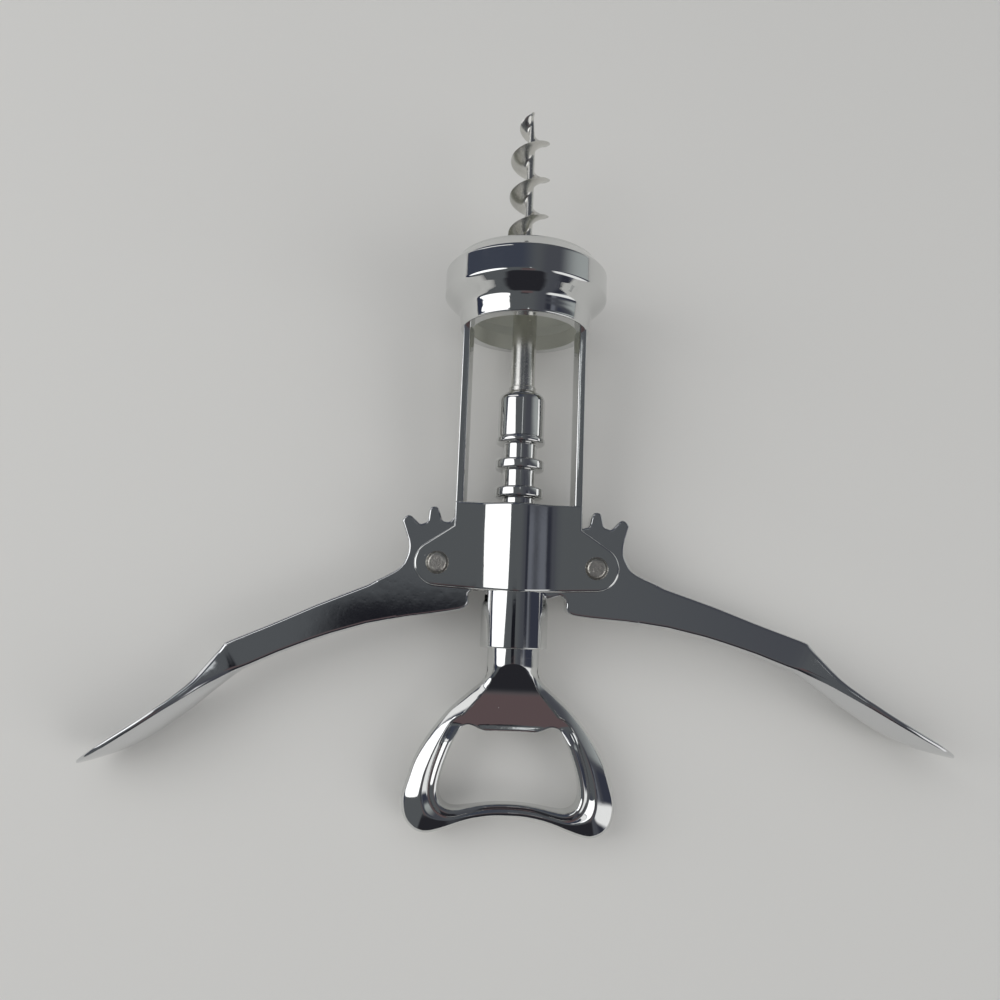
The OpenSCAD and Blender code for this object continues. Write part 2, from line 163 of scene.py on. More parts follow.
def lathe(name, profile, steps):
    """Turns a closed profile of (radius, height along Y) round the Y axis."""
    bpy.ops.object.select_all(action="DESELECT")
    bpy.ops.mesh.primitive_circle_add(vertices=len(profile), fill_type="NOTHING")
    piece = named(name)
    for v, (r, y) in zip(piece.data.vertices, profile):
        v.co = (max(r, 0), y, 0)
    bpy.ops.object.mode_set(mode="EDIT")
    bpy.ops.mesh.select_all(action="SELECT")
    bpy.ops.mesh.spin(steps=steps, angle=2 * math.pi, center=(0, 0, 0), axis=(0, 1, 0))
    bpy.ops.object.mode_set(mode="OBJECT")
    edit(close_up)
    return piece


def slab(name, outline, z0, z1, rim=0, segments=4):
    """A flat outline given thickness, with both rims rounded."""
    bpy.ops.object.select_all(action="DESELECT")
    bpy.ops.mesh.primitive_circle_add(vertices=len(outline), fill_type="NGON")
    piece = named(name)
    for v, (x, y) in zip(piece.data.vertices, outline):
        v.co = (x, y, z0)
    bpy.ops.object.mode_set(mode="EDIT")
    bpy.ops.mesh.select_all(action="SELECT")
    bpy.ops.mesh.extrude_region_move(TRANSFORM_OT_translate={"value": (0, 0, z1 - z0)})
    bpy.ops.object.mode_set(mode="OBJECT")
    edit(close_up)
    if rim:
        pick_edges(lambda a, b: abs(a.z - b.z) < 1e-4)
        bpy.ops.mesh.bevel(offset=rim, segments=segments, profile=0.5, affect="EDGES")
        bpy.ops.object.mode_set(mode="OBJECT")
    return piece


# %% Object-mode helpers
def activate(piece):
    bpy.ops.object.select_all(action="DESELECT")
    piece.select_set(True)
    bpy.context.view_layer.objects.active = piece


def combine(piece, other, operation):
    """Boolean of two solids: UNION or DIFFERENCE. The second one is used up."""
    activate(piece)
    mod = piece.modifiers.new("solid", "BOOLEAN")
    mod.operation, mod.object, mod.solver = operation, other, "EXACT"
    bpy.ops.object.modifier_apply(modifier=mod.name)
    bpy.data.objects.remove(other)


def rod(name, r, ends, axis="Y", sides=96, at=(0, 0, 0)):
    """A plain cylinder to cut with, between two places on an axis through a point."""
    bpy.ops.object.select_all(action="DESELECT")
    turn = (math.radians(90), 0, 0) if axis == "Y" else (0, 0, 0)
    middle = sum(ends) / 2
    place = (at[0], middle, at[2]) if axis == "Y" else (at[0], at[1], middle)
    bpy.ops.mesh.primitive_cylinder_add(vertices=sides, radius=r, depth=ends[1] - ends[0],
                                        location=place, rotation=turn)
    bpy.ops.object.transform_apply(location=True, rotation=True, scale=True)
    return named(name)


def finish_piece(piece, body, material, nodes=(), smooth=32):
    """Lays a piece down with the tool, smooths it and ties it to the frame."""
    activate(piece)
    piece.matrix_world = LIE
    bpy.ops.object.transform_apply(location=True, rotation=True, scale=True)
    bpy.ops.object.shade_smooth_by_angle(angle=math.radians(smooth))
    mod = piece.modifiers.new("even", "WEIGHTED_NORMAL")
    mod.keep_sharp, mod.weight = True, 60
    bpy.ops.object.modifier_apply(modifier=mod.name)
    piece.data.materials.clear()
    piece.data.materials.append(material)
    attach(piece, body)
    if nodes:
        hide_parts(*nodes)
    print(piece.name, len(piece.data.vertices), "points")


# %% [markdown]
# ## Finishes
# The casting, wings, rack and handle are zinc and steel under polished chrome. Chrome is a near
# mirror, so its look is made of what it reflects, and the material only adds what blurs and dots
# that reflection: an orange-peel waviness a few millimetres across, fine wiping haze, pits in the
# plating and grains of dust. The worm is duller nickel-plated steel.

# %% Material helpers
def linear(code):
    """An sRGB hex colour as linear light."""
    rgb = [int(code[i:i + 2], 16) / 255 for i in (1, 3, 5)]
    return [c / 12.92 if c <= 0.04045 else ((c + 0.055) / 1.055) ** 2.4 for c in rgb] + [1]


def add(tree, kind, links=(), **settings):
    """Adds a node with its settings, and links (socket, from-node, from-socket)."""
    node = tree.nodes.new(kind)
    for key, value in settings.items():
        if key in node.inputs:
            node.inputs[key].default_value = value
        else:
            setattr(node, key, value)
    for socket, source, out in links:
        tree.links.new(source.outputs[out], node.inputs[socket])
    return node


def new_material(name):
    mat = bpy.data.materials.new(name)
    mat.use_nodes = True
    tree = mat.node_tree
    return mat, tree, tree.nodes["Principled BSDF"], add(tree, "ShaderNodeTexCoord")


# %% Chrome plate
def chrome(name, tint, blur, peel, dust, pits):
    """Mirror chrome: peel is the waviness in millimetres, dust and pits run from 0 to 1."""
    mat, tree, shader, coord = new_material(name)
    # Scales are patterns per metre: waves 4 mm across, wiping marks 0.4 mm, dust grains 2.4 mm
    # apart and the patches in which the dust lies 7 mm across
    wave = add(tree, "ShaderNodeTexNoise", [("Vector", coord, "Object")], Scale=260, Detail=2)
    fine = add(tree, "ShaderNodeTexNoise", [("Vector", coord, "Object")], Scale=2600, Detail=3)
    grains = add(tree, "ShaderNodeTexVoronoi", [("Vector", coord, "Object")], Scale=420)
    dusty = add(tree, "ShaderNodeTexNoise", [("Vector", coord, "Object")], Scale=150, Detail=3)
    size = add(tree, "ShaderNodeMapRange", [("Value", dusty, "Fac")])
    for key, value in (("From Min", 0.5), ("From Max", 0.72), ("To Min", 0.0),
                       ("To Max", 0.05 * dust)):
        size.inputs[key].default_value = value
    speck = add(tree, "ShaderNodeMath", [(0, grains, "Distance"), (1, size, "Result")],
                operation="LESS_THAN")
    haze = add(tree, "ShaderNodeMapRange", [("Value", fine, "Fac")])
    haze.inputs["To Min"].default_value = blur * 0.7
    haze.inputs["To Max"].default_value = blur * 1.6
    rough = add(tree, "ShaderNodeMath", [(0, speck, 0), (1, haze, "Result")], operation="MAXIMUM")
    tone = add(tree, "ShaderNodeMix", [("Factor", speck, 0)], data_type="RGBA")
    tone.inputs["A"].default_value = linear(tint)
    tone.inputs["B"].default_value = linear("#e4e4e0")
    tree.links.new(tone.outputs[2], shader.inputs["Base Color"])
    tree.links.new(rough.outputs[0], shader.inputs["Roughness"])
    clean = add(tree, "ShaderNodeMath", [(1, speck, 0)], operation="SUBTRACT")
    clean.inputs[0].default_value = 1
    tree.links.new(clean.outputs[0], shader.inputs["Metallic"])
    soft = add(tree, "ShaderNodeBump", [("Height", wave, "Fac")], Strength=1.0, Distance=peel * 0.001)
    # Pits 1.1 mm apart and 0.06 mm deep at most
    hole = add(tree, "ShaderNodeTexVoronoi", [("Vector", coord, "Object")], Scale=900)
    depth = add(tree, "ShaderNodeMapRange", [("Value", hole, "Distance")])
    depth.inputs["From Max"].default_value = 0.35
    rough_bump = add(tree, "ShaderNodeBump", [("Height", depth, "Result"), ("Normal", soft, "Normal")],
                     Strength=pits, Distance=0.00006)
    tree.links.new(rough_bump.outputs[0], shader.inputs["Normal"])
    return mat


def matt_inside(mat):
    """Leaves the bell's inside as it was cast: pale and matt.

    A spot counts as inside where it is above the bell's lower rim and nearer to the screw's axis
    than a radius just over the inner wall's, which widens from the throat to the cup. In metres.
    """
    tree = mat.node_tree
    shader = tree.nodes["Principled BSDF"]
    coord = add(tree, "ShaderNodeTexCoord")
    upright = add(tree, "ShaderNodeMapping", [("Vector", coord, "Object")], vector_type="TEXTURE",
                  Location=LIE.translation, Rotation=(TILT, 0, 0))
    flat = add(tree, "ShaderNodeVectorMath", [(0, upright, 0)], operation="MULTIPLY")
    flat.inputs[1].default_value = (1, 0, 1)
    radius = add(tree, "ShaderNodeVectorMath", [(0, flat, 0)], operation="LENGTH")
    along = add(tree, "ShaderNodeSeparateXYZ", [(0, upright, 0)])
    deeper = add(tree, "ShaderNodeMapRange", [("Value", along, 1)])
    for key, value in (("From Min", 0.0575), ("From Max", 0.061), ("To Min", 0.0126),
                       ("To Max", 0.0161)):
        deeper.inputs[key].default_value = value
    near = add(tree, "ShaderNodeMath", [(0, radius, "Value"), (1, deeper, "Result")],
               operation="LESS_THAN")
    above = add(tree, "ShaderNodeMath", [(0, along, 1)], operation="GREATER_THAN")
    above.inputs[1].default_value = 0.05495
    inner = add(tree, "ShaderNodeMath", [(0, near, 0), (1, above, 0)], operation="MULTIPLY")
    grain = add(tree, "ShaderNodeTexNoise", [("Vector", coord, "Object")], Scale=1900, Detail=3)
    for socket, low, high in (("Roughness", 0.5, 0.75), ("Metallic", 0.35, 0.15)):
        value = add(tree, "ShaderNodeMapRange", [("Value", grain, "Fac")])
        value.inputs["To Min"].default_value = low
        value.inputs["To Max"].default_value = high
        mix = add(tree, "ShaderNodeMix", [("Factor", inner, 0), ("B", value, 0)], data_type="FLOAT")
        tree.links.new(shader.inputs[socket].links[0].from_socket, mix.inputs["A"])
        tree.links.new(mix.outputs[0], shader.inputs[socket])
    mix = add(tree, "ShaderNodeMix", [("Factor", inner, 0)], data_type="RGBA")
    mix.inputs["B"].default_value = linear("#c6c7bd")
    tree.links.new(shader.inputs["Base Color"].links[0].from_socket, mix.inputs["A"])
    tree.links.new(mix.outputs[2], shader.inputs["Base Color"])
    return mat


CAST_CHROME = matt_inside(chrome("polished chrome on cast zinc", "#dcdddc", 0.05, 0.012, 0.8, 0.02))
WING_CHROME = chrome("worn chrome on cast zinc", "#d8d9da", 0.07, 0.010, 1.0, 0.02)
TURNED_CHROME = chrome("bright chrome on turned steel", "#dcdcdb", 0.05, 0.008, 0.5, 0.03)


# %% Dull steel
def steel(name, tint, blur, grit, scale, depth=0.00003):
    """Plated or bare steel whose fine grain scatters the reflection; scale is grains per metre."""
    mat, tree, shader, coord = new_material(name)
    grain = add(tree, "ShaderNodeTexNoise", [("Vector", coord, "Object")], Scale=scale, Detail=4)
    cloud = add(tree, "ShaderNodeTexNoise", [("Vector", coord, "Object")], Scale=scale / 9, Detail=2)
    tone = add(tree, "ShaderNodeMix", [("Factor", cloud, "Fac")], data_type="RGBA")
    tone.inputs["A"].default_value = [c * 0.72 for c in linear(tint)[:3]] + [1]
    tone.inputs["B"].default_value = linear(tint)
    rough = add(tree, "ShaderNodeMapRange", [("Value", grain, "Fac")])
    rough.inputs["To Min"].default_value = blur * 0.8
    rough.inputs["To Max"].default_value = blur * 1.3
    bump = add(tree, "ShaderNodeBump", [("Height", grain, "Fac")], Strength=grit, Distance=depth)
    tree.links.new(tone.outputs[2], shader.inputs["Base Color"])
    tree.links.new(rough.outputs[0], shader.inputs["Roughness"])
    tree.links.new(bump.outputs[0], shader.inputs["Normal"])
    shader.inputs["Metallic"].default_value = 1
    return mat


WORM_STEEL = steel("dull nickel-plated steel", "#e8e7e2", 0.24, 0.12, 2400)
PIN_STEEL = steel("peened bare steel", "#f0ece2", 0.3, 1.0, 2400, 0.00016)

# %% [markdown]
# ## Frame casting
# One casting holds everything: the bell over the bottle's mouth, two side bars, the housing with the
# wings' slots and the collar that guides the shaft. The bell is spun, the bars are extruded, and
# the housing's flat cheeks get a round belly over the bore. Booleans make one solid of them and cut
# the bores, slots and pin holes.

# %% Bell
BELL = ([(12.4, 54.85)] + arc(14.5, 55.3, 0.45, -90, 0, 5)  # the rim round the throat
        + curve([(14.95, 55.5), (15.12, 56.6), (15.25, 57.7), (15.45, 59.0), (15.95, 59.7),
                 (16.8, 60.5), (17.75, 61.35)], 5)  # the neck, then the flare out to the band
        + arc(17.7, 63.15, 1.3, -43, 0, 7) + arc(17.8, 68.1, 1.2, 0, 42, 7)
        + [(16.35, 71.3)] + arc(15.97, 71.55, 0.3, 40, 100, 3)  # the mouth
        + [(15.8, 71.5), (15.8, 61.95), (12.4, 58.55)])  # the cup and its sloping floor
frame_piece = lathe("frame_casting_body", BELL, 160)

# %% Side bars, thickest in the middle of their depth
BAR = [(14.2, 4.5), (12.5, 4.5), (11.75, 0.5), (11.75, -0.5), (12.5, -4.5), (14.2, -4.5)]
for side in (-1, 1):
    bar = slab("bar", [(side * x, z) for x, z in BAR], 12.9, 56.2)
    pick_edges(lambda a, b: abs(a.z - b.z) > 1)
    bpy.ops.mesh.bevel(offset=0.36, segments=4, affect="EDGES")
    bpy.ops.object.mode_set(mode="OBJECT")
    for v in bar.data.vertices:
        v.co = (v.co.x, v.co.z, -v.co.y)
    edit(close_up)
    combine(frame_piece, bar, "UNION")

# %% Housing
LOBE_R = 5.1  # also half the housing's thickness over the cheeks


def cheek_outline():
    """Right half from the bottom middle round the lobe to the top corner, then mirrored."""
    half = [(0, -6.0)] + arc(PIVOT_X, 0, LOBE_R, -87, 58, 26) + [(14.25, 8.4), (14.25, 13.85)]
    return half + [(-x, y) for x, y in reversed(half[1:])]


housing = slab("housing", cheek_outline(), -LOBE_R, LOBE_R, rim=0.55, segments=5)
combine(frame_piece, housing, "UNION")

# The belly over the bore, in X and Z: a round crest, sloping flanks and a foot that runs out on
# the cheek. Its lower end follows the cheek's lower edge, which rises to the lobes.
CREST = curve([(0, 7.7), (0.8, 7.66), (1.6, 7.54), (2.4, 7.3), (3.4, 6.9), (4.6, 6.38), (5.8, 5.9),
               (7.0, 5.5), (8.2, 5.23), (9.2, 5.13), (10.2, 5.09)], 3) + [(10.2, 4.0)]
CHEEK_RISE = 0.0514
front = [(-x, z) for x, z in reversed(CREST[1:])] + CREST
ring = front + [(-x, -z) for x, z in front]
belly = loft("belly", [[(x, -5.98 + CHEEK_RISE * abs(x), z) for x, z in ring],
                       [(x, 13.82, z) for x, z in ring]])
pick_edges(lambda a, b: abs(a.y - b.y) < 1 and abs(a.z) > 5)
bpy.ops.mesh.bevel(offset=0.6, segments=4, affect="EDGES")
bpy.ops.object.mode_set(mode="OBJECT")
combine(frame_piece, belly, "UNION")

# %% Collar, then every bore and slot
COLLAR = [(4.0, -4), (7.5, -4)] + arc(7.2, -17.75, 0.3, 0, -90, 3) + [(4.0, -18.05)]
combine(frame_piece, lathe("collar", COLLAR, 96), "UNION")
PIN_HOLE = [(0, -7), (2.9, -7), (2.55, -5.1), (2.02, -4.6), (2.02, 4.6), (2.55, 5.1), (2.9, 7),
            (0, 7)]
SLOT = (-3.1, 3.1)  # the wing's 6 mm and a little air on each side
SWEEP_R = 13.3  # clears the tips of the wing's teeth
combine(frame_piece, rod("bore", BORE_R, (-19, 15)), "DIFFERENCE")
for side in (-1, 1):
    well = rod("well", SWEEP_R, SLOT, "Z", 128, (side * PIVOT_X, 0, 0))
    combine(frame_piece, well, "DIFFERENCE")
    x0, x1 = sorted((side * 14.3, side * 40))
    room = slab("room", [(x0, -20), (x1, -20), (x1, 20), (x0, 20)], *SLOT)
    combine(frame_piece, room, "DIFFERENCE")
    hole = lathe("pin_hole", PIN_HOLE, 48)
    for v in hole.data.vertices:
        v.co = (v.co.x + side * PIVOT_X, -v.co.z, v.co.y)
    edit(close_up)
    combine(frame_piece, hole, "DIFFERENCE")
finish_piece(frame_piece, "frame", CAST_CHROME, ["frame_casting"])

# %% [markdown]
# ## Wings
# A wing is cast in one piece: a toothed hub that meshes with the rack, a flat arm, and a paddle that
# is cupped like a spoon, hollow towards the bell. In its own frame the pivot is at the origin and
# the tip on +X. The hub is a slab cut from its outline, and one loft runs along the arm and paddle
# so that their faces flow into each other.

# %% Wing measures, as pairs of the distance from the pivot and a value there
UPPER = [(8, 3.2), (12.8, 3.2), (16, 3.35), (27, 4.8), (38, 5.8), (46, 6.75), (49.2, 7.1),
         (51.8, 6.0), (57, 3.7), (59.2, 2.8), (64, 1.7), (71, 0.75), (78, 0.35), (84, 0.1),
         (88.9, -0.15)]
LOWER = [(3.4, -10.4), (11.3, -7.3), (20.1, -4.4), (29.4, -2.2), (39.1, -0.7), (49.6, 0.3),
         (57, 0.35), (65.3, -0.1), (72, -0.6), (79, -0.95), (85, -0.95), (88.9, -0.65)]
HALF_WIDTH = [(0, 3), (48, 3), (51, 3.2), (55, 4.1), (60, 5.6), (66, 7.05), (72, 7.6), (77, 7.3),
              (82, 6.0), (86, 3.9), (88, 2.1), (88.9, 0.7)]
BULGE = [(48, 0), (52, 0.5), (57, 1.4), (62, 2.1), (68, 2.5), (74, 2.5), (80, 1.8), (85, 0.8),
         (88.9, 0.1)]
STATIONS = [9, 12, 16, 20, 24, 28, 32, 36, 40, 44, 47, 48.6, 49.2, 49.8, 51, 52.5, 54, 56, 58, 60,
            62, 64, 66, 68, 70, 72, 74, 76, 78, 80, 82, 84, 85.5, 86.8, 87.8, 88.5, 88.9]

# %% Hub
FLANK = [(12.75, 2.7), (12.45, 4.3), (12.0, 5.5), (11.3, 6.6), (10.5, 8.0), (9.9, 9.3)]
TOOTH = [(r, -a) for r, a in reversed(FLANK)] + [(12.85, 0)] + FLANK  # radius, degrees
ROOT_R = 9.6
FIRST_TOOTH = 84.5
TEETH = 6


def polar(r, angle):
    return r * math.cos(math.radians(angle)), r * math.sin(math.radians(angle))


def hub_outline():
    """Teeth every 30 degrees, rounded gaps, the heel below and the throat above."""
    points = []
    for k in range(TEETH):
        mid = FIRST_TOOTH + 30 * k
        tooth = TOOTH if k else TOOTH[5:]  # the first one starts at its tip, out of the throat
        points += [polar(r, mid + a) for r, a in tooth]
        if k < TEETH - 1:
            points += [polar(ROOT_R, mid + a) for a in (11.5, 13.5, 16.5, 18.5)]
    points += [polar(ROOT_R, a) for a in (248, 253)]
    heel = curve([(-2.3, -10.0), (-1.9, -10.9), (-0.9, -11.45), (0.6, -11.35), (3.4, -10.4)], 3)
    throat = curve([(14, 3.25), (10, 3.05), (7.5, 3.3), (6.0, 4.15), (4.5, 5.5), (3.5, 7.3),
                    (2.95, 9.8), (2.5, 12.2)], 4)
    return points + heel + [(7.3, -8.9), (11.3, -7.3), (14, -6.35)] + throat


def arm_section(u):
    """Cross-section across the wing at u: rounded rims, wider on the paddle, round a cupped middle."""
    low, high, h, bulge = (read_off(t, u) for t in (LOWER, UPPER, HALF_WIDTH, BULGE))
    r = min(0.85 + 0.5 * ease((u - 47) / 5), 0.42 * (high - low), h * 0.45)
    spread = [0, 0.2, 0.4, 0.6, 0.78, 0.9]
    side = [(low - bulge * (1 - q * q), q * (h - r)) for q in spread]
    side += arc(low + r, h - r, r, 180, 90, 5) + arc(high - r, h - r, r, 90, 0, 5)
    side += [(high - 0.8 * bulge * (1 - q * q), q * (h - r)) for q in reversed(spread)]
    return [(u, y, z) for y, z in side] + [(u, y, -z) for y, z in reversed(side[1:-1])]


def wing(name):
    turn = -1 if name == "left_wing" else 1
    piece = loft(name + "_body", [arm_section(u) for u in STATIONS])
    hub = slab("hub", hub_outline(), -3, 3, rim=0.55, segments=4)
    combine(piece, hub, "UNION")
    combine(piece, rod("pivot_hole", 2.06, (-4, 4), "Z", 48), "DIFFERENCE")
    droop = math.radians(DROOP[name])
    for v in piece.data.vertices:
        x = v.co.x * math.cos(droop) + v.co.y * math.sin(droop)
        y = v.co.y * math.cos(droop) - v.co.x * math.sin(droop)
        v.co = (turn * (PIVOT_X + x), y, v.co.z)
    edit(close_up)
    finish_piece(piece, name, WING_CHROME, [name])


for name in DROOP:
    wing(name)

# %% [markdown]
# ## Rack
# The rack is a turned sleeve: a barrel above six rings, whose grooves the wings' teeth fill. Being
# round, it meshes however the handle is turned. One profile is spun round the shank's axis.

# %% Spin the rack
RINGS, RING_PITCH, RING_R = 6, 6.4, 5.6
HALF_RING = 1.2
GROOVE_R, HOLE_R = 3.75, 2.9
TOP_GROOVE = 26.35
EDGE = 0.55  # rounding of the rings' corners
RACK_TOP, CROWN = 40.25, 2.15
BARREL_FOOT = 28.05  # underside of the barrel's flange
profile = [(HOLE_R, RACK_TOP)] + arc(3.2, RACK_TOP - CROWN, CROWN, 90, 0, 9)
profile += [(5.33, 29.75), (5.2, 29.6), (5.22, 29.45)] + arc(RING_R - 0.2, 29.15, 0.2, 90, 0, 3)
profile += arc(RING_R - EDGE, BARREL_FOOT + EDGE, EDGE, 0, -90, 4)
profile += [(3.9, BARREL_FOOT), (GROOVE_R, 27.9)]
for k in range(RINGS):
    y = TOP_GROOVE - RING_PITCH * (k + 0.5)
    profile += [(GROOVE_R, y + 1.35), (3.9, y + HALF_RING)]
    profile += arc(RING_R - EDGE, y + HALF_RING - EDGE, EDGE, 90, 0, 4)
    profile += arc(RING_R - EDGE, y - HALF_RING + EDGE, EDGE, 0, -90, 4)
    if k < RINGS - 1:
        profile += [(3.9, y - HALF_RING), (GROOVE_R, y - 1.35)]
profile += [(HOLE_R, y - HALF_RING)]
rack = lathe("rack_body", profile, 96)
finish_piece(rack, "rack", TURNED_CHROME, ["rack_sleeve"])

# %% [markdown]
# ## Worm
# The shank runs from the handle through the rack and ends in the worm, an open right-handed helix
# with one flange on a thin core. Its cross-section is a teardrop, turned a little further at each
# step up the axis, and it shrinks to the point over the last turn.

# %% Shank and helix
WORM_START, WORM_END, PITCH = 67.25, 111.2, 9.35
CORE_R, FLANGE = 0.95, 3.85  # the flange stands this far out of the core
FIRST_TURN = 66  # degrees, where the flange starts
WORM_STEPS = 180
SHANK = [(0, -21.0), (2.8, -21.0), (2.8, 63.75), (2.4, 65.2), (1.6, 67.2), (0.8, 69.4), (0, 69.6)]


def worm_section(y, n=24):
    """A thin flange on a round core, which swells from the shank and shrinks to the point."""
    grow = min(1, ((WORM_END - y) / PITCH + 0.002) ** 0.55)
    lead = ease((y - WORM_START) / PITCH * 2.2)
    turn = 360 * (y - WORM_START) / PITCH + FIRST_TURN
    ring = []
    for k in range(n):
        a = 360 * k / n - 180
        f = max(math.cos(math.radians(a / 1.15)), 0) ** 7 * lead
        r = grow * (CORE_R + FLANGE * f)
        b = math.radians(a - turn)
        ring.append((r * math.cos(b), y, r * math.sin(b)))
    return ring


worm = loft("worm_body", [worm_section(WORM_START + (WORM_END - WORM_START) * i / WORM_STEPS)
                          for i in range(WORM_STEPS + 1)])
combine(worm, lathe("shank", SHANK, 64), "UNION")
finish_piece(worm, "screw", WORM_STEEL, ["worm"], smooth=50)

# %% [markdown]
# ## Handle with the cap lifter
# The handle is a flat casting: a rolled rim round an opening, a sunk web that ends in the lifting
# tongue, and a small bead round the opening. Pairs of points, one on the opening and one on the
# outline, are joined by sections, and a height that depends on the distance to the outline, the
# web and the opening gives each section its shape. The sections meet in a closed loop.

# %% Outline, opening and web
PAIRS = [  # opening x, y, outline x, y: from the middle of the tongue round to the bottom bar
    (0, -36.1, 0, -20.0), (1.9, -36.1, 1.78, -20.0), (3.7, -36.1, 3.46, -20.0),
    (5.2, -36.1, 4.88, -20.0), (6.0, -36.0, 5.62, -20.0), (6.3, -35.9, 5.75, -20.0),
    (7.0, -35.7, 5.75, -21.7), (8.2, -35.2, 5.78, -23.8), (9.05, -35.0, 7.0, -25.7),
    (9.9, -35.1, 8.5, -27.0), (10.8, -35.6, 9.9, -28.2), (11.8, -37.2, 13.0, -31.0),
    (12.75, -39.2, 15.8, -34.2), (13.6, -41.5, 18.5, -38.0), (14.3, -43.6, 20.8, -42.2),
    (14.85, -45.7, 22.1, -46.2), (15.2, -47.8, 23.1, -50.0), (15.15, -49.6, 23.0, -53.0),
    (14.5, -51.2, 22.1, -55.5), (13.3, -52.1, 20.0, -57.4), (11.9, -52.4, 17.4, -58.0),
    (10.2, -52.25, 13.9, -57.15), (8.1, -51.9, 10.0, -55.7), (5.8, -51.5, 6.9, -54.85),
    (3.0, -51.2, 3.4, -54.3), (0, -51.1, 0, -54.2)]
WEB_TOP = -21.3
WEB = [(0, WEB_TOP), (1.4, -21.5), (2.7, -22.2), (3.7, -23.3), (4.4, -24.6), (5.0, -26.0),
       (6.3, -28.1), (8.4, -30.6), (10.3, -32.9), (11.7, -35.2), (12.4, -37.4), (9, -38.5),
       (0, -38.5)]
# Height of the bead, and how far the tongue's edge is rounded down, by distance from the opening
BEAD = curve([(0, -0.6), (0.12, -0.12), (0.35, 0.28), (0.7, 0.5), (1.0, 0.54), (1.35, 0.4),
              (1.8, 0.14), (2.2, 0), (9, 0)], 4)
ROUND = [(0, -0.5), (0.06, -0.3), (0.15, -0.16), (0.3, -0.05), (0.5, 0)]
SHAFT_END = -20.05  # above it, the sections end on the round of the shaft
NECK_R, NECK_END = 5.74, -24.2  # the neck down to here has to pass the collar


def mirrored(points):
    """A smooth line down the right side and back up the left one."""
    whole = curve(points, 4)
    return whole + [(-x, y) for x, y in reversed(whole[:-1])]


OUTLINE = mirrored([(SHAFT_R, -10)] + [p[2:] for p in PAIRS[5:]])
OPENING = mirrored([p[:2] for p in PAIRS])
SUNK = curve(WEB, 5)
SUNK = [(-x, y) for x, y in reversed(SUNK[1:])] + SUNK


def distance(p, line):
    """From a point to the nearest stretch of a line."""
    best = math.inf
    for (ax, ay), (bx, by) in zip(line, line[1:]):
        dx, dy = bx - ax, by - ay
        t = ((p[0] - ax) * dx + (p[1] - ay) * dy) / max(dx * dx + dy * dy, 1e-9)
        t = min(max(t, 0), 1)
        best = min(best, math.hypot(p[0] - ax - t * dx, p[1] - ay - t * dy))
    return best


def inside(p, line):
    """Whether a point lies inside a closed line, by the crossings to its right."""
    hit = False
    for (ax, ay), (bx, by) in zip(line, line[1:] + line[:1]):
        if (ay > p[1]) != (by > p[1]) and p[0] < (bx - ax) * (p[1] - ay) / (by - ay) + ax:
            hit = not hit
    return hit


def blend(a, b, k):
    """The smaller of two heights, or the larger for a negative k, rounded k wide where they cross."""
    h = max(abs(k) - abs(a - b), 0) ** 2 / (4 * abs(k))
    return min(a, b) - h if k > 0 else max(a, b) + h


# %% Height of the handle's front face
def thin_bar(x, y):
    """1 in the middle of the bottom bar, 0 in the rest of the ring."""
    return ease((15 - abs(x)) / 11) * ease((-48 - y) / 3)


def valley(p):
    """How far outside the web and the groove round the opening a point lies."""
    web = distance(p, SUNK) * (-1 if inside(p, SUNK) else 1)
    return min(web, distance(p, OPENING) - 2.2 + thin_bar(*p))


def rim_height(d, y, bar):
    """Height by distance from the outline: the round shaft, then a tight edge and a low dome."""
    shaft = SHAFT_R * math.sqrt(1 - (1 - min(d / SHAFT_R, 1)) ** 2)
    edge = (1.5 - 0.4 * bar) * math.sqrt(1 - (1 - min(d / (0.75 - 0.2 * bar), 1)) ** 2)
    dome = (2.5 - 1.4 * bar) * (1 - (1 - min(d / (5.2 - 3.5 * bar), 1)) ** 1.3) ** (1 / 1.3)
    return shaft + (edge + dome - shaft) * ease((-22 - y) / 5)


def face_height(p, on_outline, on_opening):
    """Rolled rim, then a step down to the web or to a groove, then the bead round the opening."""
    x, y = p
    bar = thin_bar(x, y)
    d = 0 if on_outline else distance(p, OUTLINE)
    e = 0 if on_opening else distance(p, OPENING)
    ring = ease((-34.8 - y) / 4)
    web = blend(1.5, SHAFT_R + (y - WEB_TOP) * 0.74, -2.2)  # slopes from the shaft to the flat
    low = web + (2.75 - 1.25 * bar - web) * ring
    inner = low + max(valley(p), 0) * (4 - 3.15 * ring)
    z = blend(rim_height(d, y, bar), inner, 0.25)
    bead = read_off(BEAD, e * (1 + 0.5 * bar)) * ring * (1 - 0.3 * bar)
    return z + bead + read_off(ROUND, e) * (1 - ring)


# %% Build the loop
# Places along a section, as shares of its part inside the valley's edge and of its part outside
NEAR = [0, 0.015, 0.035, 0.06, 0.09, 0.12, 0.16, 0.2, 0.25, 0.3, 0.35, 0.4, 0.45, 0.5, 0.55, 0.6,
        0.65, 0.7, 0.75, 0.8, 0.84, 0.88, 0.915, 0.945, 0.97, 0.988]
FAR = [0, 0.012, 0.035, 0.065, 0.1, 0.145, 0.2, 0.26, 0.33, 0.4, 0.48, 0.56, 0.64, 0.72, 0.79,
       0.85, 0.9, 0.94, 0.965, 0.985, 0.996, 1]


def in_bore(x, y, z):
    """Holds the neck to its radius, because the top of its travel takes it into the collar."""
    r = math.hypot(x, z)
    return (x, y, z) if y < NECK_END or r <= NECK_R else (x * NECK_R / r, y, z * NECK_R / r)


